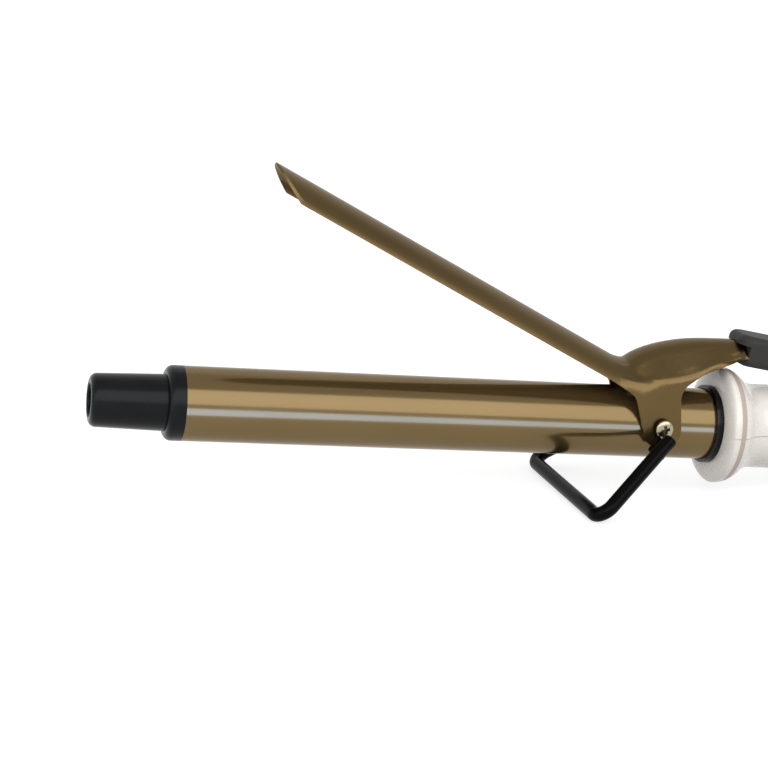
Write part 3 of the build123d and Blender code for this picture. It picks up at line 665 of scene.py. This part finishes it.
def make_clamp():
    """The clamp with a fuller hood and a softer valley, in place of its CAD node."""
    hood_frame = barrel_frame.to_3x3().to_4x4()
    hood_frame.translation = pivot
    hood_frame = hood_frame @ Matrix.Rotation(HOOD_TURN, 4, "Y") @ Matrix.Scale(MILLIMETRE, 4)
    build = bmesh.new()
    build.from_mesh(nodes["clamp_stamping"].data)
    bmesh.ops.transform(build, matrix=hood_frame.inverted(), verts=build.verts)
    bmesh.ops.remove_doubles(build, verts=build.verts, dist=WELD)

    def in_hood(vert):
        return CREASE_ZONE[0] < vert.co.x < HOOD_REAR[1] and vert.co.z > HOOD_FLOOR

    for _ in range(HOOD_ROUNDS):
        long = [edge for edge in build.edges if edge.calc_length() > HOOD_EDGE]
        edges = [edge for edge in long if any(in_hood(vert) for vert in edge.verts)]
        bmesh.ops.subdivide_edges(build, edges=edges, cuts=1)
        bmesh.ops.triangulate(build, faces=[face for face in build.faces if len(face.verts) > 3])
    hood = [vert for vert in build.verts if in_hood(vert)]
    for vert, place in zip(hood, fill_hood(np.array([vert.co for vert in hood]))):
        vert.co = place
    soften_crease(build)
    bmesh.ops.dissolve_degenerate(build, edges=build.edges, dist=WELD)
    bmesh.ops.transform(build, matrix=hood_frame, verts=build.verts)
    mesh = bpy.data.meshes.new("clamp_full")
    build.to_mesh(mesh)
    build.free()
    mesh.materials.append(nodes["clamp_stamping"].data.materials[0])
    mesh.shade_smooth()
    mesh.set_sharp_from_angle(angle=HOOD_SHARP)
    piece = link("clamp_full", mesh)
    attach(piece, "clamp")
    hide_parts("clamp_stamping")


# Stage

def light_path_switch(tree):
    """1 for a ray from the camera, or one that was mirrored or refracted, and otherwise 0."""
    path = tree.nodes.new("ShaderNodeLightPath")
    first = tree.nodes.new("ShaderNodeMath")
    first.operation = "MAXIMUM"
    second = tree.nodes.new("ShaderNodeMath")
    second.operation = "MAXIMUM"
    tree.links.new(path.outputs["Is Camera Ray"], first.inputs[0])
    tree.links.new(path.outputs["Is Glossy Ray"], first.inputs[1])
    tree.links.new(first.outputs[0], second.inputs[0])
    tree.links.new(path.outputs["Is Transmission Ray"], second.inputs[1])
    return second.outputs[0]


def make_world():
    """White where it is seen, straight or mirrored, and a plain fill for everything else."""
    world = bpy.data.worlds.new("studio")
    bpy.context.scene.world = world
    world.use_nodes = True
    tree = world.node_tree
    tree.nodes.clear()
    fill = tree.nodes.new("ShaderNodeBackground")
    fill.inputs["Strength"].default_value = WORLD_FILL
    white = tree.nodes.new("ShaderNodeBackground")
    for shader in (fill, white):
        shader.inputs["Color"].default_value = (1.0, 1.0, 1.0, 1.0)
    white.inputs["Strength"].default_value = 1.0
    mix = tree.nodes.new("ShaderNodeMixShader")
    out = tree.nodes.new("ShaderNodeOutputWorld")
    tree.links.new(light_path_switch(tree), mix.inputs["Fac"])
    tree.links.new(fill.outputs[0], mix.inputs[1])
    tree.links.new(white.outputs[0], mix.inputs[2])
    tree.links.new(mix.outputs[0], out.inputs["Surface"])


def quad(name, width, depth, height):
    """A flat rectangle, given by its corners along X and Y."""
    build = bmesh.new()
    corners = [(-width / 2, depth[0]), (width / 2, depth[0]), (width / 2, depth[1]), (-width / 2, depth[1])]
    build.faces.new([build.verts.new((x, y, height)) for x, y in corners])
    mesh = bpy.data.meshes.new(name)
    build.to_mesh(mesh)
    build.free()
    piece = link(name, mesh)
    return piece


def make_floor():
    """A pale floor that is white where nothing shades it."""
    floor = quad("floor", FLOOR_SIZE, (-FLOOR_SIZE / 2, FLOOR_SIZE / 2), cad_box[0][2])
    material = bpy.data.materials.new("pale_floor")
    material.use_nodes = True
    tree = material.node_tree
    tree.nodes.clear()
    matt = tree.nodes.new("ShaderNodeBsdfDiffuse")
    matt.inputs["Color"].default_value = (FLOOR_ALBEDO, FLOOR_ALBEDO, FLOOR_ALBEDO, 1.0)
    glow = tree.nodes.new("ShaderNodeEmission")
    strength = tree.nodes.new("ShaderNodeMath")
    strength.operation = "MULTIPLY"
    strength.inputs[1].default_value = FLOOR_GLOW
    both = tree.nodes.new("ShaderNodeAddShader")
    out = tree.nodes.new("ShaderNodeOutputMaterial")
    tree.links.new(light_path_switch(tree), strength.inputs[0])
    tree.links.new(strength.outputs[0], glow.inputs["Strength"])
    tree.links.new(matt.outputs[0], both.inputs[0])
    tree.links.new(glow.outputs[0], both.inputs[1])
    tree.links.new(both.outputs[0], out.inputs["Surface"])
    floor.data.materials.append(material)


def make_ceiling_card():
    """A dim card overhead, seen only in reflections."""
    card = quad("ceiling_card", CARD_WIDTH, (CARD_FRONT, CARD_BACK), pivot.z + CARD_HEIGHT)
    material = bpy.data.materials.new("ceiling_card")
    material.use_nodes = True
    tree = material.node_tree
    tree.nodes.clear()
    glow = tree.nodes.new("ShaderNodeEmission")
    glow.inputs["Strength"].default_value = CARD_GLOW
    out = tree.nodes.new("ShaderNodeOutputMaterial")
    tree.links.new(glow.outputs[0], out.inputs["Surface"])
    card.data.materials.append(material)
    card.visible_camera = False
    card.visible_diffuse = False
    card.visible_shadow = False
    card.visible_transmission = False


def area_light(name, size, place, target, power, colour):
    """A rectangular soft lamp that the camera doesn't see."""
    data = bpy.data.lights.new(name, "AREA")
    data.shape = "RECTANGLE"
    data.size, data.size_y = size
    data.energy = power
    data.color = colour
    lamp = link(name, data)
    lamp.location = place
    lamp.rotation_euler = (target - place).to_track_quat("-Z", "Y").to_euler()
    lamp.visible_camera = False
    return lamp


def limit_to(lamp, name):
    """A lamp that only shows as a reflection, in one CAD node."""
    lamp.visible_diffuse = False
    lamp.visible_transmission = False
    shown_in = bpy.data.collections.new(lamp.name + "_reflections")
    shown_in.objects.link(nodes[name])
    lamp.light_linking.receiver_collection = shown_in


def make_lights():
    """A broad window, a weak fill from the tip's side, and a cool panel that only the barrel mirrors."""
    area_light("window", WINDOW_SIZE, pivot + WINDOW_PLACE, pivot, WINDOW_POWER, WINDOW_COLOUR)
    area_light("side_fill", SIDE_SIZE, pivot + SIDE_PLACE, pivot, SIDE_POWER, WINDOW_COLOUR)
    panel_size = (PANEL_WIDTH, PANEL_FAR - PANEL_NEAR)
    panel_place = Vector((0.0, -(PANEL_FAR + PANEL_NEAR) / 2, cad_box[0][2] + PANEL_LIFT))
    above = panel_place + Vector((0.0, 0.0, 1.0))
    power = PANEL_RADIANCE * math.pi * panel_size[0] * panel_size[1]
    panel = area_light("table_panel", panel_size, panel_place, above, power, PANEL_COLOUR)
    limit_to(panel, "barrel_tube")


def make_camera():
    """The camera at the photograph's place, looking the same way."""
    forward = Vector((
        math.sin(CAMERA_YAW) * math.cos(CAMERA_PITCH),
        math.cos(CAMERA_YAW) * math.cos(CAMERA_PITCH),
        math.sin(CAMERA_PITCH),
    ))
    level = Vector((math.cos(CAMERA_YAW), -math.sin(CAMERA_YAW), 0.0))
    upright = level.cross(forward)
    right = level * math.cos(CAMERA_ROLL) + upright * math.sin(CAMERA_ROLL)
    up = upright * math.cos(CAMERA_ROLL) - level * math.sin(CAMERA_ROLL)
    turn = Matrix((right, up, -forward)).transposed().to_4x4()
    data = bpy.data.cameras.new("camera")
    data.sensor_fit = "HORIZONTAL"
    data.sensor_width = SENSOR_MM
    data.lens = SENSOR_MM * FOCAL_PIXELS / PICTURE_PIXELS
    data.clip_start = CAMERA_NEAR
    camera = link("camera", data)
    camera.matrix_world = barrel_frame @ Matrix.Translation(CAMERA_PLACE) @ turn
    bpy.context.scene.camera = camera


bpy.context.scene.view_settings.view_transform = "Standard"
dress_all()
make_pivot_screws()
make_clamp()
make_world()
make_floor()
make_ceiling_card()
make_lights()
make_camera()
